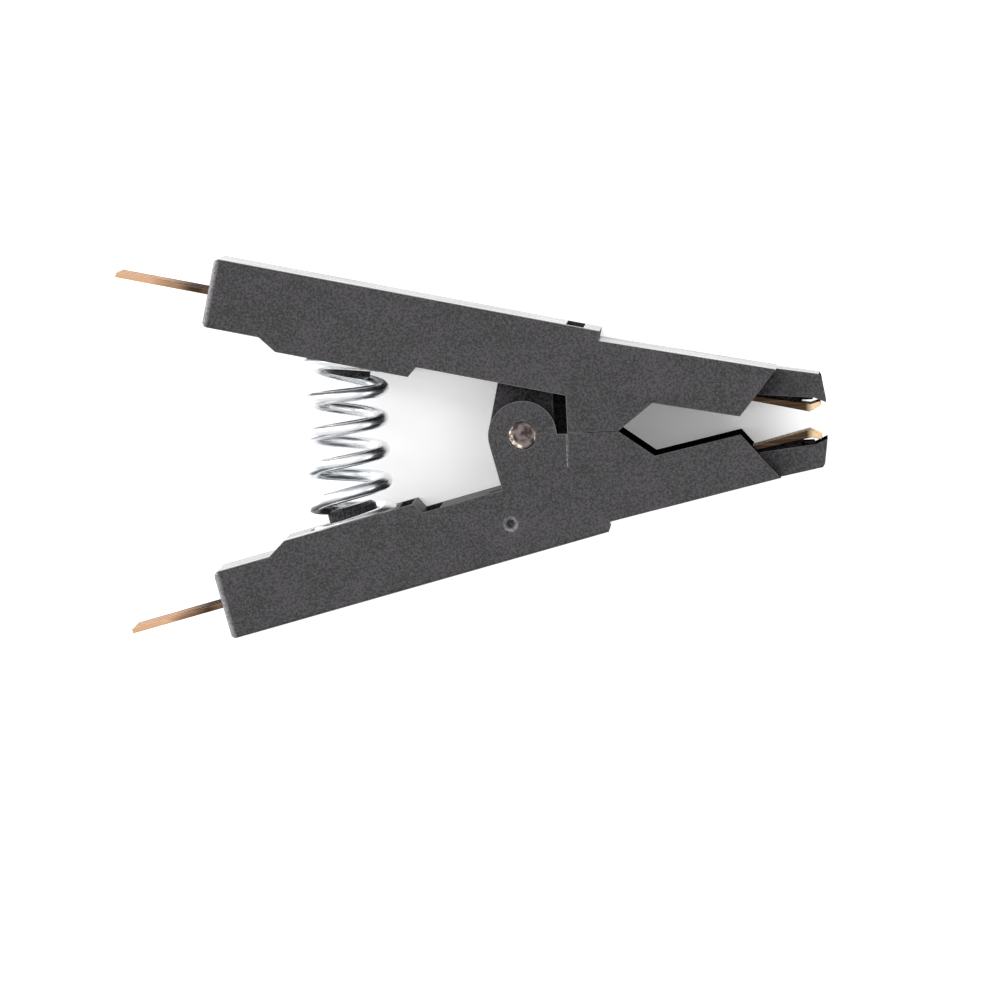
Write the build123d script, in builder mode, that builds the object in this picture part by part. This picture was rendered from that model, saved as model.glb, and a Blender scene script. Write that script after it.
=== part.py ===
from build123d import *
import math
import os

os.makedirs("parts", exist_ok=True)

# A sprung clip with two levers that cross at a hinge pin. It grips a narrow chip in its jaw, and
# four contact strips in each lever carry the chip's leads back to a row of pins at the rear.
# The frame: +X runs along the centre line to the jaw, +Y towards the upper lever, +Z along the
# hinge pin. The clip lies on its side on z = 0, and the origin is on the hinge axis.
# Lengths are in millimetres and angles in degrees.

# Both levers
body_width = 10.6
half_angle = 13.31
rear_reach = 23.5
arm_depth = 4.87
corner_round = 0.35
edge_round = 0.22

# The inner face behind the hinge, from the rear end forward
rear_land_length = 4.1
land_slope_length = 1.3
pad_length = 9.45
pad_rise = 0.78
pad_step_length = 0.4
pad_groove_length = 0.9
pad_groove_depth = 0.35
pad_groove_inset = 0.2

# The front: the back and its shoulder, the mouth and throat inside, then the narrow nose
back_step_at = 3.96
back_step_drop = 0.68
front_back_rise = 0.34
shoulder_at = 16.6
mouth_at = 8.53
mouth_flare = 0.21
throat_setback = 1.88
throat_wall = 1.12
nose_length = 3.88
nose_width = 6.2
nose_overlap = 0.9
nose_root_setback = 0.7
nose_underside_gap = 0.56
nose_underside_rise = 0.5
nose_lip_thickness = 0.88
nose_lip_drop = 0.16
nose_corner_setback = 0.66
nose_corner_rise = 0.17
nose_corner_cut = 0.2

# The hinge
pin_diameter = 2.0
pin_chamfer = 0.15
running_clearance = 0.04
ear_radius = 2.41
ear_relief = 0.9
ear_thickness = 1.6
ear_gap = 0.15
inner_ear_flat = 0.21
stop_wall = 0.75
seam_length = 3.58
seam_gap = 0.04
ear_face_ease = 0.22
ear_slot_at = -3.45
ear_slot_length = 1.4
ear_slot_depth = 0.5

# Windows, marks and ribs
window_length = 1.25
window_rim = 0.8
back_window_at = 2.17
mark_at = -2.51
mark_diameter = 1.25
mark_core_diameter = 0.7
mark_depth = 0.12
mark_core_depth = 0.4
comb_rib_thickness = 0.45
comb_rib_length = 2.9
comb_rib_inset = 0.2

# The contact strips
contact_count = 4
contact_thickness = 0.35
rear_pitch = 2.54
rear_pin_width = 0.6
rear_pin_length = 6.65
tip_pitch = 1.27
tip_strip_width = 0.5
fan_start = -5.0
fan_end = 9.0
grip_drop = 0.495
grip_run_in = 4.1
grip_setback = 0.12
blade_root_depth = 0.32
blade_tip_depth = 0.56
hook_setback = 0.28
hook_length = 0.75
hook_rise = 0.6
hook_thickness = 0.3
strip_corner_round = 0.1

# The coil spring and its seats
spring_diameter = 6.2
spring_wire = 0.95
spring_turns = 5.7
spring_easing_turns = 0.5
spring_end_turns = 0.08
spring_phase_share = -0.165
even_bend_share = 0.45
late_bend_power = 4
spring_clearance = 0.02
points_per_turn = 16
seat_offset = 0.225
seat_depth = 0.85
seat_clearance = 0.15
boss_clearance = 0.4
boss_height = 1.8
boss_chamfer = 0.25

# Heights and places that follow from the sizes above
arm_height = ear_radius + ear_relief
back_height = arm_height + arm_depth
contact_height = arm_height + arm_depth / 2
pad_height = arm_height - pad_rise
seat_height = pad_height + seat_depth
rear_end = -rear_reach
land_front = rear_end + rear_land_length
pad_rear = land_front + land_slope_length
pad_front = pad_rear + pad_length
arm_start = pad_front + pad_step_length
seat_at = (pad_rear + pad_front) / 2 + seat_offset
wall_at = ear_radius + stop_wall
seam_end = wall_at + seam_length
ear_pocket = ear_thickness + ear_gap
inner_ear_front = ear_radius - inner_ear_flat
ear_layers = ear_pocket + ear_thickness + ear_gap
shoulder_height = back_height - back_step_drop + front_back_rise
grip_height = contact_height - grip_drop
throat_at = shoulder_at - throat_setback
throat_height = grip_height - throat_wall
nose_root_at = shoulder_at - nose_root_setback
nose_root_height = grip_height + nose_underside_gap
nose_tip_at = shoulder_at + nose_length
nose_lip_at = nose_tip_at - nose_lip_thickness
nose_lip_height = nose_root_height + nose_underside_rise
nose_corner_at = nose_tip_at - nose_corner_setback
nose_corner_height = shoulder_height + nose_corner_rise
grip_start = throat_at - grip_setback
hook_end_at = nose_tip_at - hook_setback
hook_start = hook_end_at - hook_length
seat_diameter = spring_diameter + 2 * seat_clearance
boss_diameter = spring_diameter - 2 * spring_wire - 2 * boss_clearance
cosine = math.cos(math.radians(half_angle))
sine = math.sin(math.radians(half_angle))


def clip_point(along, out):
    """A point given along and out from the clip's centre line, in a lever's own frame."""
    return (along * cosine - out * sine, along * sine + out * cosine)


def wall_height_point(along, height):
    """The point at a height in a lever's own frame, on a line square to the centre line."""
    return clip_point(along, (height - along * sine) / cosine)


# Each lever has a frame of its own: x along its back, y out from the hinge axis, z across the clip
# from its outer ear. The lower lever is the same moulding turned over about the centre line.
upper_side = Plane(origin=(0, 0, 0), x_dir=(cosine, -sine, 0), z_dir=(0, 0, 1))
lower_side = Plane(origin=(0, 0, body_width), x_dir=(cosine, sine, 0), z_dir=(0, 0, -1))


def place(side, x, y, z):
    """A point of a lever's own frame, in the clip's frame."""
    return side.origin + side.x_dir * x + side.y_dir * y + side.z_dir * z


def strip_offset(index, pitch):
    """How far a contact lies from mid-width, at a pitch."""
    return (index - (contact_count - 1) / 2) * pitch


def make_contact(side, index):
    """One stamped contact: rear pin, straight run, fan, then a deepening blade with a hooked end."""
    rear_z = strip_offset(index, rear_pitch)
    tip_z = strip_offset(index, tip_pitch)
    rear_half = rear_pin_width / 2
    tip_half = tip_strip_width / 2
    pin_end = rear_end - rear_pin_length
    pin_half = contact_thickness / 2
    hook_height = grip_height + hook_rise
    plan = Plane(origin=place(side, 0, 0, body_width / 2), x_dir=side.x_dir, z_dir=-side.y_dir)
    with BuildPart() as contact:
        with BuildSketch(side):
            with BuildLine():
                profile = FilletPolyline(
                    (pin_end, contact_height - pin_half),
                    (grip_start - grip_run_in, contact_height - pin_half),
                    (grip_start, grip_height),
                    (hook_start, grip_height),
                    (hook_end_at, hook_height),
                    (hook_end_at - hook_thickness / 2, hook_height + hook_thickness),
                    (hook_start, grip_height + blade_tip_depth),
                    (grip_start, grip_height + blade_root_depth),
                    (grip_start - grip_run_in, contact_height + pin_half),
                    (pin_end, contact_height + pin_half),
                    radius=strip_corner_round,
                )
                Line(profile @ 1, profile @ 0)
            make_face()
        extrude(amount=body_width)
        with BuildSketch(plan):
            with BuildLine():
                Polyline(
                    (pin_end - rear_pin_width, rear_z - rear_half),
                    (fan_start, rear_z - rear_half),
                    (fan_end, tip_z - tip_half),
                    (hook_end_at + tip_strip_width, tip_z - tip_half),
                    (hook_end_at + tip_strip_width, tip_z + tip_half),
                    (fan_end, tip_z + tip_half),
                    (fan_start, rear_z + rear_half),
                    (pin_end - rear_pin_width, rear_z + rear_half),
                    close=True,
                )
            make_face()
        extrude(amount=-back_height, mode=Mode.INTERSECT)
    return contact.part


def nose_outline():
    """The narrow nose that carries the jaw end of the strips, in a lever's own frame."""
    return [
        (nose_root_at - nose_overlap, nose_root_height),
        (nose_root_at, nose_root_height),
        (nose_lip_at, nose_lip_height),
        (nose_tip_at, nose_lip_height - nose_lip_drop),
        (nose_corner_at, nose_corner_height - nose_corner_cut),
        (nose_corner_at - nose_corner_cut, nose_corner_height),
        (shoulder_at, shoulder_height),
        (shoulder_at - nose_overlap, shoulder_height - edge_round),
    ]


def make_jaw(side, bore_diameter, contacts):
    """One lever moulding, with its ears, spring seat, nose, windows and contact channels."""
    along = Axis(side.origin, side.x_dir)
    outward = Axis(side.origin, side.y_dir)
    ear_root = arm_height + corner_round
    with BuildPart() as jaw:
        with BuildSketch(side):
            with BuildLine():
                Polyline(
                    (rear_end, back_height),
                    (rear_end, arm_height),
                    (land_front, arm_height),
                    (pad_rear, pad_height),
                    (pad_front, pad_height),
                    (arm_start, arm_height),
                    wall_height_point(wall_at, arm_height),
                    clip_point(wall_at, seam_gap / 2),
                    clip_point(seam_end, seam_gap / 2),
                    (mouth_at, throat_height - mouth_flare),
                    (throat_at, throat_height),
                    (shoulder_at, shoulder_height),
                    (back_step_at, back_height - back_step_drop),
                    (back_step_at, back_height),
                    close=True,
                )
            make_face()
        extrude(amount=body_width)

        # Rounded rear corners, then the long edges that run on from them
        fillet(jaw.edges().filter_by(Axis.Z).sort_by(along)[:2], corner_round)
        back = jaw.faces().filter_by(outward).sort_by(outward)[-1]
        fillet(back.edges().filter_by(along), edge_round)

        # The narrow nose, with a comb of ribs between the strips
        with BuildSketch(side.offset((body_width - nose_width) / 2)):
            with BuildLine():
                Polyline(*nose_outline(), close=True)
            make_face()
        extrude(amount=nose_width)
        for rib in range(1, contact_count):
            rib_middle = body_width / 2 + strip_offset(rib - 0.5, tip_pitch)
            with BuildSketch(side.offset(rib_middle - comb_rib_thickness / 2)):
                with BuildLine():
                    Polyline(
                        (nose_root_at - nose_overlap, grip_height),
                        (nose_root_at + comb_rib_length, grip_height + comb_rib_inset),
                        (nose_root_at + comb_rib_length, nose_lip_height),
                        (nose_root_at - nose_overlap, nose_lip_height),
                        close=True,
                    )
                make_face()
            extrude(amount=comb_rib_thickness)

        # The outer ear is flush with one side, and solid down to the seam in front of the pin
        with BuildSketch(side):
            Circle(ear_radius)
            with BuildLine():
                Polyline(
                    (-ear_radius, 0),
                    (-ear_radius, ear_root),
                    wall_height_point(wall_at, ear_root),
                    clip_point(wall_at, seam_gap / 2),
                    clip_point(0, seam_gap / 2),
                    close=True,
                )
            make_face()
        extrude(amount=ear_thickness)

        # The inner ear stands behind the pocket that takes the other lever's outer ear
        with BuildSketch(side.offset(body_width - ear_pocket - ear_thickness)):
            Circle(ear_radius)
            with BuildLine():
                Polyline(
                    (-ear_radius, 0),
                    (-ear_radius, ear_root),
                    wall_height_point(inner_ear_front, ear_root),
                    clip_point(inner_ear_front, math.sqrt(ear_radius**2 - inner_ear_front**2)),
                    (0, 0),
                    close=True,
                )
            make_face()
        extrude(amount=ear_thickness)

        # Between the two levers' inner ears the front wall is thicker, down to the seam
        with BuildSketch(side.offset(ear_layers)):
            with BuildLine():
                Polyline(
                    wall_height_point(inner_ear_front, ear_root),
                    clip_point(inner_ear_front, seam_gap / 2),
                    clip_point(wall_at, seam_gap / 2),
                    wall_height_point(wall_at, ear_root),
                    close=True,
                )
            make_face()
        extrude(amount=body_width - 2 * ear_layers)
        with BuildSketch(side):
            Circle(bore_diameter / 2)
        extrude(amount=body_width, mode=Mode.SUBTRACT)

        # The spring seat: a round pocket in the pad, and a boss that stands up inside the end coil
        seat = Plane(origin=place(side, seat_at, seat_height, body_width / 2), z_dir=-side.y_dir)
        with BuildSketch(seat):
            Circle(seat_diameter / 2)
        extrude(amount=seat_depth, mode=Mode.SUBTRACT)
        with BuildSketch(seat):
            Circle(boss_diameter / 2)
        extrude(amount=boss_height)
        boss_rim = jaw.edges(Select.LAST).filter_by(GeomType.CIRCLE).sort_by(outward)[0]
        chamfer(boss_rim, boss_chamfer)

        # Windows across the inner face and the back, open to the strips, and a groove in the pad
        with BuildSketch(side.offset(window_rim)):
            with Locations((arm_start, contact_height)):
                Rectangle(window_length, back_height, align=(Align.MIN, Align.MAX))
            with Locations((back_window_at, contact_height)):
                Rectangle(window_length, back_height, align=(Align.CENTER, Align.MIN))
        extrude(amount=body_width - 2 * window_rim, mode=Mode.SUBTRACT)
        with BuildSketch(side.offset(window_rim)):
            with Locations((pad_front - pad_groove_inset, pad_height + pad_groove_depth)):
                Rectangle(pad_groove_length, pad_rise, align=(Align.MAX, Align.MAX))
        extrude(amount=body_width - 2 * window_rim, mode=Mode.SUBTRACT)

        # A slot in the inner face, beside the outer ear and under the other lever's inner ear
        with BuildSketch(side.offset(ear_pocket)):
            with Locations((ear_slot_at, arm_height + ear_slot_depth)):
                Rectangle(ear_slot_length, arm_height, align=(Align.MIN, Align.MAX))
        extrude(amount=ear_thickness, mode=Mode.SUBTRACT)

        # A ring-shaped ejector mark on the outer ear's side
        with BuildSketch(side):
            with Locations((mark_at, contact_height)):
                Circle(mark_diameter / 2)
        extrude(amount=mark_depth, mode=Mode.SUBTRACT)
        with BuildSketch(side):
            with Locations((mark_at, contact_height)):
                Circle(mark_core_diameter / 2)
        extrude(amount=mark_core_depth, mode=Mode.SUBTRACT)

        # The outer ear's face is eased back towards its round end, so that it can't rub
        ear_face = Plane(
            origin=place(side, *clip_point(wall_at, 0), 0),
            x_dir=side.x_dir * -sine + side.y_dir * cosine,
            z_dir=side.x_dir * -cosine - side.y_dir * sine,
        )
        with BuildSketch(ear_face):
            with BuildLine():
                Polyline(
                    (ear_radius, 0),
                    (-ear_radius, 0),
                    (-ear_radius, -ear_face_ease),
                    close=True,
                )
            make_face()
        extrude(amount=wall_at + ear_root, mode=Mode.SUBTRACT)

        for contact in contacts:
            add(contact, mode=Mode.SUBTRACT)
    return jaw.part


levers = [
    ("upper", upper_side, pin_diameter + 2 * running_clearance),
    ("lower", lower_side, pin_diameter),
]
for lever, side, bore_diameter in levers:
    contacts = [make_contact(side, index) for index in range(contact_count)]
    for number, contact in enumerate(contacts, start=1):
        contact.label = f"{lever}_contact_{number}"
        export_step(contact, f"parts/{lever}_contact_{number}.step")
    jaw = make_jaw(side, bore_diameter, contacts)
    jaw.label = f"{lever}_jaw"
    export_step(jaw, f"parts/{lever}_jaw.step")

with BuildPart() as pivot_pin:
    with BuildSketch():
        Circle(pin_diameter / 2)
    extrude(amount=body_width)
    chamfer(pivot_pin.edges().filter_by(GeomType.CIRCLE), pin_chamfer)
pivot_pin.part.label = "pivot_pin"
export_step(pivot_pin.part, "parts/pivot_pin.step")

# The spring's axis runs along Y in its middle and bends over towards its ends, so that each end
# coil lies flat in its seat. Distances are counted along Y from the clip's centre line.
coil_radius = (spring_diameter - spring_wire) / 2
end_height = seat_height - spring_wire / 2 - spring_clearance
end_place = seat_at * cosine + end_height * sine
end_distance = end_height * cosine - seat_at * sine
even_turns = spring_turns / 2 - spring_easing_turns - spring_end_turns
spring_pitch = end_distance / (even_turns + spring_easing_turns / 2)
full_sway = end_distance * math.radians(half_angle)


def coil_distance(turn):
    """How far out the wire is at a turn: an even pitch, easing to nothing at the end coils."""
    size = abs(turn)
    eased = min(max(size - even_turns, 0), spring_easing_turns)
    even = min(size, even_turns)
    rise = spring_pitch * (even + eased - eased**2 / (2 * spring_easing_turns))
    return math.copysign(rise, turn)


def coil_tilt(distance):
    """How far a coil leans over, in radians: slowly at first, and fully at its seat."""
    share = abs(distance) / end_distance
    lean = even_bend_share * share + (1 - even_bend_share) * share**late_bend_power
    return math.copysign(math.radians(half_angle) * lean, distance)


def coil_sway(distance):
    """How far the axis has moved towards the hinge by then."""
    share = abs(distance) / end_distance
    early = even_bend_share * share**2 / 2
    late = (1 - even_bend_share) * share ** (late_bend_power + 1) / (late_bend_power + 1)
    return full_sway * (early + late)


def coil_point(turn):
    """A point of the wire's centre line, which rises to the right on the near side."""
    distance = coil_distance(turn)
    tilt = coil_tilt(distance)
    angle = 2 * math.pi * (turn + spring_phase_share)
    reach = coil_radius * math.cos(angle)
    return (
        end_place - coil_sway(end_distance) + coil_sway(distance) - reach * math.cos(tilt),
        distance + reach * math.sin(tilt),
        body_width / 2 + coil_radius * math.sin(angle),
    )


coil_steps = round(spring_turns * points_per_turn)
with BuildPart() as spring:
    with BuildLine() as coil:
        Spline(*[coil_point(spring_turns * (step / coil_steps - 0.5)) for step in range(coil_steps + 1)])
    with BuildSketch(Plane(origin=coil.line @ 0, z_dir=coil.line % 0)):
        Circle(spring_wire / 2)
    sweep()
spring.part.label = "spring"
export_step(spring.part, "parts/spring.step")
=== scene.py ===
import math

import bmesh
import bpy
from mathutils import Matrix, Vector
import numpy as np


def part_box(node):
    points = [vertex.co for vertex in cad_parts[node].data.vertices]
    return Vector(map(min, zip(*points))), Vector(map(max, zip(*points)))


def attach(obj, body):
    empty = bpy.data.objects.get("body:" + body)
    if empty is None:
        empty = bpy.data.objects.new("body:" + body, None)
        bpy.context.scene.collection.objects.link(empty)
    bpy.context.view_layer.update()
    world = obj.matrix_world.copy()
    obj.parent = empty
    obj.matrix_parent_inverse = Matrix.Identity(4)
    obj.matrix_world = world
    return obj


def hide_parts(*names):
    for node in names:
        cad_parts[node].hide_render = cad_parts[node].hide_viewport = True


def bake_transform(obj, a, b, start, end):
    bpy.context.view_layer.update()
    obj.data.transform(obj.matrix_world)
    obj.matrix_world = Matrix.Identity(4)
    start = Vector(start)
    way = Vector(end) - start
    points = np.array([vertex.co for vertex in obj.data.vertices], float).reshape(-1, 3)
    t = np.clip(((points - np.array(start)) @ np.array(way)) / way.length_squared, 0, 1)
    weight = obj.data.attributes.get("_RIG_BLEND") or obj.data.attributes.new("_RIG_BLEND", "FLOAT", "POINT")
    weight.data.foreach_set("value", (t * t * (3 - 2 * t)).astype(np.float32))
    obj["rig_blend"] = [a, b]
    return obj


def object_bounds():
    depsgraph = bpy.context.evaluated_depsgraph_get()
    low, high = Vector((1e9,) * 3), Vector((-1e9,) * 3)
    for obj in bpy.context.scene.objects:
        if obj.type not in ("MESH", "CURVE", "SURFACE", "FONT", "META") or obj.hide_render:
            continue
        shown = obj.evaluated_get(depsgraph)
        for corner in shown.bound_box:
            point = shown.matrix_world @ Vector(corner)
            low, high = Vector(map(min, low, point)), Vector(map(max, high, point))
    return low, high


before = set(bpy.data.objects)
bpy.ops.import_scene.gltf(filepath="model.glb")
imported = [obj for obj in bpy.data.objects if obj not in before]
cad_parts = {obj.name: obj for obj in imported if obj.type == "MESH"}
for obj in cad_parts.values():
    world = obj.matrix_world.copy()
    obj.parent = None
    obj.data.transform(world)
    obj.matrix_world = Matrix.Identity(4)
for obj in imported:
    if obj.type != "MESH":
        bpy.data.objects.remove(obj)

MM = 0.001
cad_low, cad_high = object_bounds()
near_side = cad_high.z
middle = near_side / 2

# The camera, matched to the photograph. The clip's centre line rises a little to the right in it,
# and the lens looks down from slightly above and to the right of the clip.
picture_side = 1000
pixels_per_mm = 14.28
pivot_pixel = (522.3, 435.4)
clip_turn = math.radians(2.68)
lean_right = math.radians(1.4)
lean_up = math.radians(2.6)
camera_distance = 0.9

# The studio. Each lamp has its place, the side of its square and its power. The floor's glow
# follows how open it is to the sky, as ambient occlusion within shade_reach finds it.
floor_reach = 1.5
lamps = {
    "key": ((-0.5, 0.3, 0.3), 0.4, 2.8),
    "top": ((0.0, 0.1, 0.6), 0.6, 0.85),
    "fill": ((0.5, -0.08, 0.2), 0.3, 0.35),
}
world_level = 0.43
world_shine = 0.85
shade_reach = 14 * MM
floor_openness_range = (0.07, 0.36)
floor_glow_range = (0.18, 0.8)

# Both levers, as in the source, and how their pieces' edges are broken
lever_slope = math.radians(13.31)
cosine = math.cos(lever_slope)
sine = math.sin(lever_slope)
contact_count = 4
moulding_softness = 0.05 * MM
metal_softness = 0.04 * MM
weld_distance = 0.002 * MM
flat_angle = math.radians(0.5)
sharp_angle = math.radians(38)
bevel_segments = 2

# The comb's front ends. The outline's points are in millimetres, along the clip's centre line and
# out from it.
comb_pitch = 1.27 * MM
comb_thickness = 0.45 * MM
comb_end_outline = ((19.5, 1.46), (20.4, 1.46), (20.55, 1.8), (19.5, 1.9))

# The coil spring, as in the source
spring_diameter = 6.2 * MM
spring_wire = 0.95 * MM
spring_turns = 5.7
spring_easing_turns = 0.5
spring_end_turns = 0.08
spring_phase_share = -0.165
even_bend_share = 0.45
late_bend_power = 4
spring_clearance = 0.02 * MM
seat_height = 3.38 * MM
seat_at = -13.15 * MM
rings_per_turn = 56
points_per_ring = 20

# In the finishes below, a size is that of a texture's features, and a stretch draws them out along
# an axis. A range holds the two values between which something takes hold. Strengths, weights and
# the like hold what it changes from and to over its range. Most noise lies in noise_range.
noise_range = (0.3, 0.7)

# The moulding: its texture, and where the faces are smoother
grain_size = 0.16 * MM
grain_range = (0.51, 0.74)
grain_relief = 0.012 * MM
grain_relief_strength = 0.7
patch_size = 2.6 * MM
patch_weight = 0.25
flow_size = 1.4 * MM
flow_stretch = (0.16, 1.0, 1.0)
fibre_size = 0.09 * MM
fibre_range = (0.66, 0.74)
fibre_strength = 0.4
moulding_roughness = (0.48, 0.6)
polish_depths = (0.3, 0.42)
smooth_face_range = (1.5 * MM, 3 * MM)
polish_end = -9.0 * MM
# Painted shade on the moulding's shine, in sheltered places
shelter_reach = 3 * MM
shelter_range = (0.35, 0.9)
shelter_shine = (0.03, 0.5)

# The moulding's rubbed edges, which are palest close round the hinge
edge_width = 0.12 * MM
edge_match_range = (0.75, 0.995)
worn_reach = 4.3 * MM
worn_fade = 0.3 * MM
worn_strength = 0.9
worn_flow_range = (0.4, 0.6)
worn_flow_strengths = (0.1, 0.55)
rear_end = -23.5 * MM
# The rear rims carry a painted highlight of the rounded rear edge, over its rubbed plastic
rear_rim_highlight_width = 0.42 * MM
rear_rim_highlight_strength = 0.95
rear_rim_highlight_grain_range = (0.35, 0.6)
rear_rim_highlight_grain_strengths = (0.55, 1)
side_face_range = (0.3, 0.6)

# The moulding's marks, the parting line with its painted highlight, and the faces of its mouth, painted
# black as painted shade
side_margin = 0.2 * MM
mark_at = -2.51 * MM
mark_height = 5.745 * MM
mark_ring_radius = 0.42 * MM
mark_ring_width = 0.42 * MM
mark_grain_range = (0.4, 0.6)
mark_grain_strengths = (0.4, 1)
line_at = 3.07 * MM
line_width = 0.11 * MM
line_end = 2.2 * MM
line_fade = 0.3 * MM
mouth_start = 5.0 * MM
mouth_inward_range = (-0.8, -0.5)
mouth_front_range = (0.55, 0.72)

# The strips
rolling_size = 0.12 * MM
rolling_stretch = (0.03, 1.0, 1.0)
rolling_relief = 0.003 * MM
rolling_relief_strength = 0.5
rolling_roughness = (0.22, 0.36)
jaw_end_start = 12.0 * MM
gilding_range = (0.5, 0.65)
gilding_strength = 0.2
strip_side_range = (0.6, 0.9)
hook_start = 19.9 * MM
hook_fade = 0.5 * MM
hook_side_shade = 0.3
side_shade_rolling_range = (0.45, 0.62)
side_shade_rolling_strengths = (1.0, 0.95)
tarnish_size = 1.6 * MM
tarnish_stretch = (0.4, 1.0, 1.0)
housing_end = -22.0 * MM
housing_darkening_reach = 5 * MM
housing_darkening_margin = 0.6 * MM
housing_darkening_weights = (-0.45, 0.5)
stain_range = (0.4, 1.0)
stain_strength = 0.95
stain_roughness = 0.3

# The spring's wire, whose texture is measured in turns along it and in shares of its girth
drawn_size = 0.05
drawn_stretch = (0.02, 1.0, 1.0)
drawn_relief = 0.006 * MM
drawn_relief_strength = 0.5
drawn_roughness = (0.2, 0.36)
bloom_size = 0.5
bloom_stretch = (2.0, 0.5, 1.0)
bloom_range = (0.48, 0.7)
bloom_strength = 0.85

# The hinge pin, with a painted highlight at the lower left and the right of its rim
ring_spacing = 0.45 * MM
ring_distortion = 1.5
ring_relief = 0.008 * MM
ring_relief_strength = 0.6
pin_stain_size = 0.5 * MM
pin_stain_range = (0.42, 0.62)
pin_roughness = (0.28, 0.48)
rim_glint_size = 0.25 * MM
rim_glint_range = (0.42, 0.56)
rim_glint_strengths = (0.1, 1)
rim_glint_radius_range = (0.62 * MM, 0.74 * MM)
rim_glint_direction = (-0.8, -0.6)
rim_glint_left_range = (0.4 * MM, 0.6 * MM)
rim_glint_right_range = (0.78 * MM, 0.86 * MM)
rim_glint_right_strength = 0.6

# The floor's paper
paper_size = 0.6 * MM
paper_roughness = (0.75, 0.85)
paper_shine = 0.1


# Nodes

def add_node(tree, kind, **values):
    """A node with some of its inputs set, or its settings where no input has that name."""
    node = tree.nodes.new(kind)
    for name, value in values.items():
        socket = node.inputs.get(name.replace("_", " "))
        if socket is not None:
            socket.default_value = value
        else:
            setattr(node, name, value)
    return node


def new_material(name, colour, metallic=0.0):
    """A material whose colour, roughness and bump are still to be linked."""
    material = bpy.data.materials.new(name)
    material.use_nodes = True
    material.diffuse_color = (*colour, 1)
    shader = material.node_tree.nodes["Principled BSDF"]
    shader.inputs["Metallic"].default_value = metallic
    return material, material.node_tree, shader


def noise(tree, place, size, detail, stretch=None):
    """Noise with features of about one size, drawn out along the axes where stretch is small."""
    texture = add_node(tree, "ShaderNodeTexNoise", Scale=1 / size, Detail=detail)
    if stretch:
        mapping = add_node(tree, "ShaderNodeMapping")
        mapping.inputs["Scale"].default_value = stretch
        tree.links.new(place, mapping.inputs["Vector"])
        place = mapping.outputs["Vector"]
    tree.links.new(place, texture.inputs["Vector"])
    return texture.outputs["Fac"]


def remap(tree, value, low, high, new_low=0, new_high=1):
    """A value carried from one range to another, and held at its ends."""
    node = add_node(tree, "ShaderNodeMapRange")
    limits = {"From Min": low, "From Max": high, "To Min": new_low, "To Max": new_high}
    for name, limit in limits.items():
        node.inputs[name].default_value = limit
    tree.links.new(value, node.inputs["Value"])
    return node.outputs["Result"]


def mix_colour(tree, share, first, second):
    """Two colours mixed by a share. Each colour is three numbers or a socket."""
    node = add_node(tree, "ShaderNodeMix", data_type="RGBA")
    tree.links.new(share, node.inputs["Factor"])
    for name, colour in (("A", first), ("B", second)):
        socket = [s for s in node.inputs if s.name == name and s.type == "RGBA"][0]
        if isinstance(colour, tuple):
            socket.default_value = (*colour, 1)
        else:
            tree.links.new(colour, socket)
    return [s for s in node.outputs if s.type == "RGBA"][0]


def combine(tree, operation, first, second=0):
    """The result of one sum on two values, the second a socket or a number."""
    node = add_node(tree, "ShaderNodeMath", operation=operation)
    tree.links.new(first, node.inputs[0])
    if isinstance(second, (int, float)):
        node.inputs[1].default_value = second
    else:
        tree.links.new(second, node.inputs[1])
    return node.outputs["Value"]


def product(tree, first, second):
    """One value times another."""
    return combine(tree, "MULTIPLY", first, second)


def larger(tree, first, second):
    """The larger of two values."""
    return combine(tree, "MAXIMUM", first, second)


def unsigned(tree, value):
    """A value without its sign."""
    return combine(tree, "ABSOLUTE", value)


def how_far(tree, across, up):
    """How far one point is from another, from how far it is across and up from it."""
    squares = [product(tree, side, side) for side in (across, up)]
    return combine(tree, "POWER", combine(tree, "ADD", *squares), 0.5)


def axis_parts(tree, vector):
    """The three parts of a vector."""
    node = add_node(tree, "ShaderNodeSeparateXYZ")
    tree.links.new(vector, node.inputs[0])
    return node.outputs


def object_place(tree):
    """A point's place on its object, the parts of that, and the parts of the way it faces."""
    coordinates = add_node(tree, "ShaderNodeTexCoord").outputs
    place = coordinates["Object"]
    return place, axis_parts(tree, place), axis_parts(tree, coordinates["Normal"])


def edge_share(tree, radius):
    """One along an edge, falling to nothing within a radius of it."""
    rounded = add_node(tree, "ShaderNodeBevel", samples=6, Radius=radius)
    plain = add_node(tree, "ShaderNodeNewGeometry")
    match = add_node(tree, "ShaderNodeVectorMath", operation="DOT_PRODUCT")
    tree.links.new(rounded.outputs["Normal"], match.inputs[0])
    tree.links.new(plain.outputs["Normal"], match.inputs[1])
    return remap(tree, match.outputs["Value"], *edge_match_range, 1, 0)


def bump(tree, shader, height, depth, strength):
    """Relief on a shader's normal."""
    node = add_node(tree, "ShaderNodeBump", Distance=depth, Strength=strength)
    tree.links.new(height, node.inputs["Height"])
    tree.links.new(node.outputs["Normal"], shader.inputs["Normal"])


# Where the moulding's finish changes

def turned_side(tree, parts, facing):
    """One on the side of each lever that carries the outer ear, and nothing on its other side."""
    return remap(tree, product(tree, facing["Z"], parts["Y"]), -side_margin, 0, 1, 0)


def line_highlight_share(tree, parts, facing):
    """One along the faint parting line that runs on down from the hole beside the ear, partly a real line
    and partly a painted highlight where a shallow step's edge catches the light.
    """
    across = unsigned(tree, combine(tree, "SUBTRACT", parts["X"], line_at))
    line = remap(tree, across, line_width / 3, line_width / 2, 1, 0)
    end = remap(tree, unsigned(tree, parts["Y"]), line_end, line_end + line_fade, 1, 0)
    return product(tree, product(tree, line, end), turned_side(tree, parts, facing))


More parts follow.
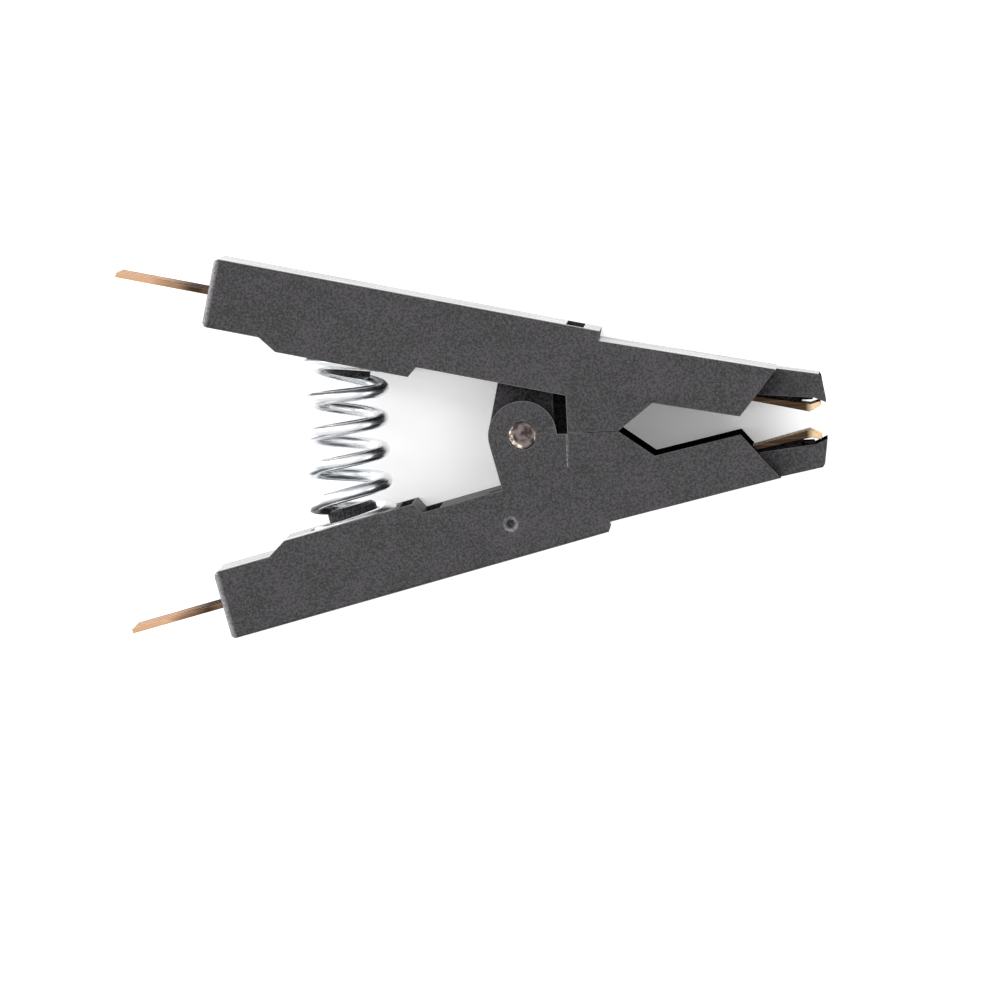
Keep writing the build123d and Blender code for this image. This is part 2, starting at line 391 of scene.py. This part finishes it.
def rear_rim_highlight_share(tree, parts, facing):
    """Nearly one on each lever's sides along the rear end's rounded, rubbed edge, where its painted
    highlight lies, and nothing a little way in."""
    across = product(tree, unsigned(tree, parts["Y"]), sine)
    along = combine(tree, "SUBTRACT", product(tree, parts["X"], cosine), across)
    rim_highlight = remap(tree, along, rear_end, rear_end + rear_rim_highlight_width, rear_rim_highlight_strength, 0)
    return product(tree, rim_highlight, remap(tree, unsigned(tree, facing["Z"]), *side_face_range))


def mark_share(tree, parts, facing):
    """One on the ring of the moulded mark, which each lever has on one side."""
    middle_x = mark_at * cosine + mark_height * sine
    middle_y = mark_height * cosine - mark_at * sine
    across = combine(tree, "SUBTRACT", parts["X"], middle_x)
    up = combine(tree, "SUBTRACT", unsigned(tree, parts["Y"]), middle_y)
    from_ring = combine(tree, "SUBTRACT", how_far(tree, across, up), mark_ring_radius)
    ring = remap(tree, unsigned(tree, from_ring), mark_ring_width / 4, mark_ring_width / 2, 1, 0)
    return product(tree, ring, turned_side(tree, parts, facing))


def mouth_shade_share(tree, parts, facing):
    """One on the faces inside and in front of the mouth, which are painted black as painted shade."""
    side = product(tree, facing["Y"], combine(tree, "SIGN", parts["Y"]))
    inner = remap(tree, side, *mouth_inward_range, 1, 0)
    inner = larger(tree, inner, remap(tree, facing["X"], *mouth_front_range))
    return product(tree, inner, remap(tree, parts["X"], mouth_start, mouth_start + MM))


# Materials

def moulding_material():
    """Dark grey plastic: spark-eroded sides with a grain, smoother backs and rear faces, faint flow
    marks, rubbed edges, a painted highlight on the rear rims and on the parting line's step, painted
    shade on the shine of sheltered faces, and the mouth painted black as painted shade."""
    dark = (0.009, 0.008, 0.009)
    light = (0.06, 0.055, 0.06)
    worn_and_highlight = (0.27, 0.26, 0.27)
    pale_highlight = (0.55, 0.53, 0.55)
    shade_black = (0.001, 0.001, 0.001)
    material, tree, shader = new_material("moulding_plastic", light)
    place, parts, facing = object_place(tree)
    grain = noise(tree, place, grain_size, 2)
    patches = noise(tree, place, patch_size, 3)
    flow = noise(tree, place, flow_size, 4, flow_stretch)
    fibres = noise(tree, place, fibre_size, 1)

    # The plain faces
    tone = combine(tree, "ADD", grain, product(tree, patches, patch_weight))
    colour = mix_colour(tree, remap(tree, tone, *grain_range), dark, light)
    flecks = remap(tree, fibres, *fibre_range, 0, fibre_strength)
    colour = mix_colour(tree, flecks, colour, worn_and_highlight)

    # Rubbed edges, the mark and the line with its painted highlight, then the painted highlight on the rear
    # rims and the painted shade on the mouth
    from_hinge = how_far(tree, parts["X"], parts["Y"])
    rubbed = remap(tree, from_hinge, worn_reach, worn_reach + worn_fade, worn_strength, 0)
    rubbed = larger(tree, rubbed, remap(tree, flow, *worn_flow_range, *worn_flow_strengths))
    wear = product(tree, edge_share(tree, edge_width), rubbed)
    # The line is partly a painted highlight of a shallow step's edge
    marks_and_line_highlight = larger(tree, mark_share(tree, parts, facing), line_highlight_share(tree, parts, facing))
    marks_and_line_highlight = product(tree, marks_and_line_highlight, remap(tree, grain, *mark_grain_range, *mark_grain_strengths))
    colour = mix_colour(tree, larger(tree, wear, marks_and_line_highlight), colour, worn_and_highlight)
    # Painted highlight: the rear end's rounded edge is painted pale
    rim_highlight = remap(tree, grain, *rear_rim_highlight_grain_range, *rear_rim_highlight_grain_strengths)
    rim_highlight = product(tree, rear_rim_highlight_share(tree, parts, facing), rim_highlight)
    colour = mix_colour(tree, rim_highlight, colour, pale_highlight)
    # Painted shade: the faces inside and in front of the mouth are painted nearly black
    mouth_shade = mouth_shade_share(tree, parts, facing)
    colour = mix_colour(tree, mouth_shade, colour, shade_black)
    tree.links.new(colour, shader.inputs["Base Color"])

    # Backs, and inner faces behind the hinge, are smoother
    outward = product(tree, facing["Y"], parts["Y"])
    back = remap(tree, outward, *smooth_face_range)
    inward = remap(tree, outward, *[-limit for limit in smooth_face_range])
    behind = remap(tree, parts["X"], polish_end, polish_end - MM)
    smooth = larger(tree, back, product(tree, inward, behind))
    rough = remap(tree, flow, *noise_range, *moulding_roughness)
    polish = product(tree, smooth, remap(tree, grain, *noise_range, *polish_depths))
    tree.links.new(combine(tree, "SUBTRACT", rough, polish), shader.inputs["Roughness"])

    # Painted shade on the shine: sheltered faces, as ambient occlusion finds them, and the mouth shine less
    shelter = add_node(tree, "ShaderNodeAmbientOcclusion", samples=6, Distance=shelter_reach)
    shine = remap(tree, shelter.outputs["AO"], *shelter_range, *shelter_shine)
    shine = product(tree, shine, remap(tree, mouth_shade, 0, 1, 1, 0))
    tree.links.new(shine, shader.inputs["Specular IOR Level"])
    bump(tree, shader, grain, grain_relief, grain_relief_strength)
    return material


def contact_material():
    """Copper alloy with a worn gold flash: rolling lines along the strip, stains that darken towards
    the housing, and painted shade in brown on the flat sides of the jaw ends."""
    gold = (0.9, 0.66, 0.4)
    copper = (0.5, 0.29, 0.165)
    brown_stain_and_shade = (0.035, 0.02, 0.013)
    material, tree, shader = new_material("gold_flashed_strip", copper, 1.0)
    place, parts, facing = object_place(tree)
    rolling = noise(tree, place, rolling_size, 2, rolling_stretch)
    tarnish = noise(tree, place, tarnish_size, 3, tarnish_stretch)
    front = remap(tree, parts["X"], jaw_end_start, jaw_end_start + MM)
    gilding = larger(tree, front, remap(tree, rolling, *gilding_range, 0, gilding_strength))
    colour = mix_colour(tree, gilding, copper, gold)

    # Painted shade: the jaw ends' flat sides are painted dark brown, less so at the hooks
    side = remap(tree, unsigned(tree, facing["Z"]), *strip_side_range)
    side_shade = product(tree, side, front)
    hook = remap(tree, parts["X"], hook_start, hook_start + hook_fade, 1, hook_side_shade)
    side_shade = product(tree, side_shade, hook)
    lines = remap(tree, rolling, *side_shade_rolling_range, *side_shade_rolling_strengths)
    side_shade = product(tree, side_shade, lines)

    # The rear pins are stained, and darker towards the housing
    stain_limits = (housing_end - housing_darkening_reach, housing_end - housing_darkening_margin)
    near_housing = remap(tree, parts["X"], *stain_limits, *housing_darkening_weights)
    near_housing = product(tree, near_housing, remap(tree, front, 0, 1, 1, 0))
    stain = combine(tree, "ADD", tarnish, near_housing)
    stain = remap(tree, stain, *stain_range, 0, stain_strength)
    # The brown is stain on the rear pins and painted shade on the jaw ends' flat sides
    colour = mix_colour(tree, larger(tree, side_shade, stain), colour, brown_stain_and_shade)
    tree.links.new(colour, shader.inputs["Base Color"])
    rough = remap(tree, rolling, *noise_range, *rolling_roughness)
    rough = combine(tree, "ADD", product(tree, stain, stain_roughness), rough)
    tree.links.new(rough, shader.inputs["Roughness"])
    bump(tree, shader, rolling, rolling_relief, rolling_relief_strength)
    return material


def zinc_material():
    """Bright zinc on drawn wire. Its lines run along the wire, by the spring's own map."""
    bright = (0.93, 0.94, 0.95)
    blue = (0.56, 0.62, 0.68)
    material, tree, shader = new_material("bright_zinc", bright, 1.0)
    place = add_node(tree, "ShaderNodeTexCoord").outputs["UV"]
    drawn = noise(tree, place, drawn_size, 2, drawn_stretch)
    bloom = noise(tree, place, bloom_size, 3, bloom_stretch)
    bloom = remap(tree, bloom, *bloom_range, 0, bloom_strength)
    tree.links.new(mix_colour(tree, bloom, bright, blue), shader.inputs["Base Color"])
    rough = remap(tree, drawn, *noise_range, *drawn_roughness)
    tree.links.new(rough, shader.inputs["Roughness"])
    bump(tree, shader, drawn, drawn_relief, drawn_relief_strength)
    return material


def pin_material():
    """Turned steel, warm from its dull plating, with rings, and a painted highlight on the rims of the ends.
    """
    steel = (0.18, 0.148, 0.142)
    dull = (0.045, 0.036, 0.034)
    bright = (0.95, 0.8, 0.66)
    material, tree, shader = new_material("turned_pin", steel, 1.0)
    place = add_node(tree, "ShaderNodeTexCoord").outputs["Object"]
    parts = axis_parts(tree, place)
    rings = add_node(tree, "ShaderNodeTexWave", wave_type="RINGS", rings_direction="Z",
                     Scale=1 / ring_spacing, Distortion=ring_distortion, Detail=2.0)
    tree.links.new(place, rings.inputs["Vector"])
    stain = noise(tree, place, pin_stain_size, 3)
    colour = mix_colour(tree, remap(tree, stain, *pin_stain_range), steel, dull)
    # Painted highlight: a bright crescent on the rim at the lower left and on the right
    radius = how_far(tree, parts["X"], parts["Y"])
    sides = [product(tree, parts[axis], way) for axis, way in zip("XY", rim_glint_direction)]
    toward = combine(tree, "ADD", *sides)
    left = remap(tree, radius, *rim_glint_radius_range)
    left = product(tree, left, remap(tree, toward, *rim_glint_left_range))
    right = remap(tree, parts["X"], *rim_glint_right_range, 0, rim_glint_right_strength)
    patches = noise(tree, place, rim_glint_size, 2)
    patches = remap(tree, patches, *rim_glint_range, *rim_glint_strengths)
    rim_glint = product(tree, larger(tree, left, right), patches)
    colour = mix_colour(tree, rim_glint, colour, bright)
    tree.links.new(colour, shader.inputs["Base Color"])
    tree.links.new(remap(tree, stain, *noise_range, *pin_roughness), shader.inputs["Roughness"])
    bump(tree, shader, rings.outputs["Fac"], ring_relief, ring_relief_strength)
    return material


def floor_material():
    """White paper. To the camera and in reflections its open part is pure white, and it darkens
    where the clip stands close round it."""
    shaded = (0.83, 0.825, 0.84)
    lit = (0.87, 0.865, 0.875)
    material, tree, shader = new_material("white_floor", (0.8, 0.8, 0.8))
    place = add_node(tree, "ShaderNodeTexCoord").outputs["Object"]
    fibre = noise(tree, place, paper_size, 3)
    tree.links.new(mix_colour(tree, fibre, shaded, lit), shader.inputs["Base Color"])
    tree.links.new(remap(tree, fibre, 0, 1, *paper_roughness), shader.inputs["Roughness"])
    shader.inputs["Specular IOR Level"].default_value = paper_shine
    rays = add_node(tree, "ShaderNodeLightPath").outputs
    seen = larger(tree, rays["Is Camera Ray"], rays["Is Glossy Ray"])
    seen = larger(tree, seen, rays["Is Transmission Ray"])
    openness = add_node(tree, "ShaderNodeAmbientOcclusion", samples=16, Distance=shade_reach)
    glow = remap(tree, openness.outputs["AO"], *floor_openness_range, *floor_glow_range)
    shader.inputs["Emission Color"].default_value = (1, 1, 1, 1)
    tree.links.new(product(tree, seen, glow), shader.inputs["Emission Strength"])
    return material


# The studio and the camera

def add_object(name, data):
    """A new object in the scene, from a mesh, a lamp's data or a camera's."""
    added = bpy.data.objects.new(name, data)
    bpy.context.scene.collection.objects.link(added)
    return added


def make_camera():
    """A long lens over the clip, placed so that the hinge falls on its pixel of the photograph."""
    right = Vector((math.cos(clip_turn), -math.sin(clip_turn), 0))
    up = Vector((math.sin(clip_turn), math.cos(clip_turn), 0))
    back = Vector((0, 0, 1)) + right * math.tan(lean_right) + up * math.tan(lean_up)
    back.normalize()
    side = up.cross(back).normalized()
    top = back.cross(side)
    pixel = MM / pixels_per_mm
    across = (picture_side / 2 - pivot_pixel[0]) * pixel
    down = (picture_side / 2 - pivot_pixel[1]) * pixel
    aim = Vector((0, 0, near_side)) + right * across - up * down
    data = bpy.data.cameras.new("camera")
    data.lens = data.sensor_width * camera_distance / (picture_side * pixel)
    camera = add_object("camera", data)
    turn = Matrix((side, top, back)).transposed().to_4x4()
    camera.matrix_world = Matrix.Translation(aim + back * camera_distance) @ turn
    bpy.context.scene.camera = camera


def make_lamp(name, place, side, power):
    """A square soft lamp that faces the clip."""
    data = bpy.data.lights.new(name, "AREA")
    data.size = side
    data.energy = power
    lamp = add_object(name, data)
    lamp.location = place
    lamp.rotation_euler = (-Vector(place)).to_track_quat("-Z", "Y").to_euler()


def make_studio():
    """A white floor under the clip, the lamps and a pale world, which is white to the camera."""
    mesh = bpy.data.meshes.new("floor")
    signs = [(-1, -1), (1, -1), (1, 1), (-1, 1)]
    corners = [(x * floor_reach, y * floor_reach, 0) for x, y in signs]
    mesh.from_pydata(corners, [], [(0, 1, 2, 3)])
    floor = add_object("floor", mesh)
    mesh.materials.append(floor_material())
    for name, (place, side, power) in lamps.items():
        make_lamp(name, place, side, power)
    world = bpy.data.worlds.new("studio")
    world.use_nodes = True
    bpy.context.scene.world = world
    tree = world.node_tree
    background = tree.nodes["Background"]
    background.inputs["Color"].default_value = (1, 1, 1, 1)
    rays = add_node(tree, "ShaderNodeLightPath").outputs
    level = remap(tree, rays["Is Glossy Ray"], 0, 1, world_level, world_shine)
    tree.links.new(larger(tree, level, rays["Is Camera Ray"]), background.inputs["Strength"])
    bpy.context.scene.view_settings.view_transform = "Standard"


# Pieces

def softened(node, name, material, body, width):
    """A CAD node's shape with its edges broken, which stands for the node."""
    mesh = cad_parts[node].data.copy()
    mesh.name = name
    form = bmesh.new()
    form.from_mesh(mesh)
    bmesh.ops.remove_doubles(form, verts=form.verts, dist=weld_distance)
    bmesh.ops.dissolve_limit(form, angle_limit=flat_angle, verts=form.verts, edges=form.edges)
    form.to_mesh(mesh)
    form.free()
    mesh.materials.clear()
    mesh.materials.append(material)
    piece = add_object(name, mesh)
    for polygon in mesh.polygons:
        polygon.use_smooth = True
    bevel = piece.modifiers.new("broken_edges", "BEVEL")
    bevel.width = width
    bevel.segments = bevel_segments
    bevel.limit_method = "ANGLE"
    bevel.angle_limit = sharp_angle
    bevel.use_clamp_overlap = True
    normals = piece.modifiers.new("flat_faces", "WEIGHTED_NORMAL")
    normals.keep_sharp = True
    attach(piece, body)
    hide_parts(node)


def new_piece(form, name, material):
    """A piece made from a closed form, which is used up."""
    bmesh.ops.recalc_face_normals(form, faces=form.faces)
    mesh = bpy.data.meshes.new(name)
    form.to_mesh(mesh)
    form.free()
    mesh.materials.append(material)
    return add_object(name, mesh)


def make_comb_ends(lever, sign, material):
    """The low front ends of the comb's ribs, under the nose between the strips' hooks."""
    form = bmesh.new()
    points = len(comb_end_outline)
    for rib in (-1, 0, 1):
        layers = []
        for offset in (-comb_thickness / 2, comb_thickness / 2):
            height = middle + rib * comb_pitch + offset
            places = [(x * MM, sign * y * MM, height) for x, y in comb_end_outline]
            layers.append([form.verts.new(place) for place in places])
        low, high = layers
        form.faces.new(low)
        form.faces.new(reversed(high))
        for corner in range(points):
            following = (corner + 1) % points
            form.faces.new((low[corner], low[following], high[following], high[corner]))
    piece = new_piece(form, f"{lever}_comb_ends", material)
    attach(piece, f"{lever}_lever")


def coil_rings():
    """The rings of the spring's wire, each as its turn, its distance out from the clip's centre
    line, the middle of its coil and its own centre."""
    radius = (spring_diameter - spring_wire) / 2
    end_height = seat_height - spring_wire / 2 - spring_clearance
    end_distance = end_height * cosine - seat_at * sine
    even_turns = spring_turns / 2 - spring_easing_turns - spring_end_turns
    pitch = end_distance / (even_turns + spring_easing_turns / 2)
    full_sway = end_distance * lever_slope
    late_share = 1 - even_bend_share
    end_sway = full_sway * (even_bend_share / 2 + late_share / (late_bend_power + 1))
    middle_place = seat_at * cosine + end_height * sine - end_sway
    count = round(spring_turns * rings_per_turn)
    rings = []
    for step in range(count + 1):
        turn = spring_turns * (step / count - 0.5)
        size = abs(turn)
        eased = min(max(size - even_turns, 0), spring_easing_turns)
        rise = pitch * (min(size, even_turns) + eased - eased**2 / (2 * spring_easing_turns))
        share = rise / end_distance
        lean = even_bend_share * share + late_share * share**late_bend_power
        tilt = math.copysign(lever_slope * lean, turn)
        late = late_share * share ** (late_bend_power + 1) / (late_bend_power + 1)
        sway = full_sway * (even_bend_share * share**2 / 2 + late)
        distance = math.copysign(rise, turn)
        angle = 2 * math.pi * (turn + spring_phase_share)
        axis_point = Vector((middle_place + sway, distance, middle))
        arm = Vector((-math.cos(tilt), math.sin(tilt), 0)) * math.cos(angle)
        arm.z = math.sin(angle)
        rings.append((turn, distance, axis_point, axis_point + arm * radius))
    return rings, even_turns


def make_spring(material):
    """The coil as a tube of rings along its wire. Its end coils stay in their seats, and the coils
    between them share the closing evenly."""
    rings, even_turns = coil_rings()
    form = bmesh.new()
    wire_map = form.loops.layers.uv.new("wire")
    loops = []
    for index, (turn, out, axis_point, centre) in enumerate(rings):
        ahead = rings[min(index + 1, len(rings) - 1)][3] - rings[max(index - 1, 0)][3]
        outward = centre - axis_point
        outward -= ahead * outward.dot(ahead) / ahead.length_squared
        outward.normalize()
        across = ahead.normalized().cross(outward)
        loops.append([])
        for point in range(points_per_ring):
            angle = 2 * math.pi * point / points_per_ring
            offset = outward * math.cos(angle) + across * math.sin(angle)
            loops[-1].append(form.verts.new(centre + offset * spring_wire / 2))
    for index in range(len(loops) - 1):
        for point in range(points_per_ring):
            following = (point + 1) % points_per_ring
            face = form.faces.new((
                loops[index][point], loops[index][following],
                loops[index + 1][following], loops[index + 1][point],
            ))
            face.smooth = True
            corners = (
                (index, point), (index, point + 1),
                (index + 1, point + 1), (index + 1, point),
            )
            for loop, (ring, spot) in zip(face.loops, corners):
                loop[wire_map].uv = (ring / rings_per_turn, spot / points_per_ring)
    form.faces.new(reversed(loops[0]))
    form.faces.new(loops[-1])
    piece = new_piece(form, "coil_spring", material)
    low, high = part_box("spring")
    middle_x = (low.x + high.x) / 2
    start, end = (middle_x, low.y, middle), (middle_x, high.y, middle)
    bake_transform(piece, "lower_lever", "upper_lever", start=start, end=end)
    # The blend's own shares would crowd the middle coils, so each ring of the wire gets its own
    even_reach = max(out for turn, out, *places in rings if turn <= even_turns)
    shares = piece.data.attributes["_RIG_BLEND"].data
    for index, (turn, out, *places) in enumerate(rings):
        share = min(max((out / even_reach + 1) / 2, 0), 1)
        for point in range(points_per_ring):
            shares[index * points_per_ring + point].value = share
    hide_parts("spring")


make_camera()
make_studio()
plastic = moulding_material()
strip_metal = contact_material()
for lever, sign in (("lower", -1), ("upper", 1)):
    body = f"{lever}_lever"
    softened(f"{lever}_jaw", f"{lever}_moulding", plastic, body, moulding_softness)
    make_comb_ends(lever, sign, plastic)
    for number in range(1, contact_count + 1):
        node = f"{lever}_contact_{number}"
        name = f"{lever}_strip_{number}"
        softened(node, name, strip_metal, body, metal_softness)
pin_metal = pin_material()
softened("pivot_pin", "turned_pivot_pin", pin_metal, "lower_lever", metal_softness)
make_spring(zinc_material())
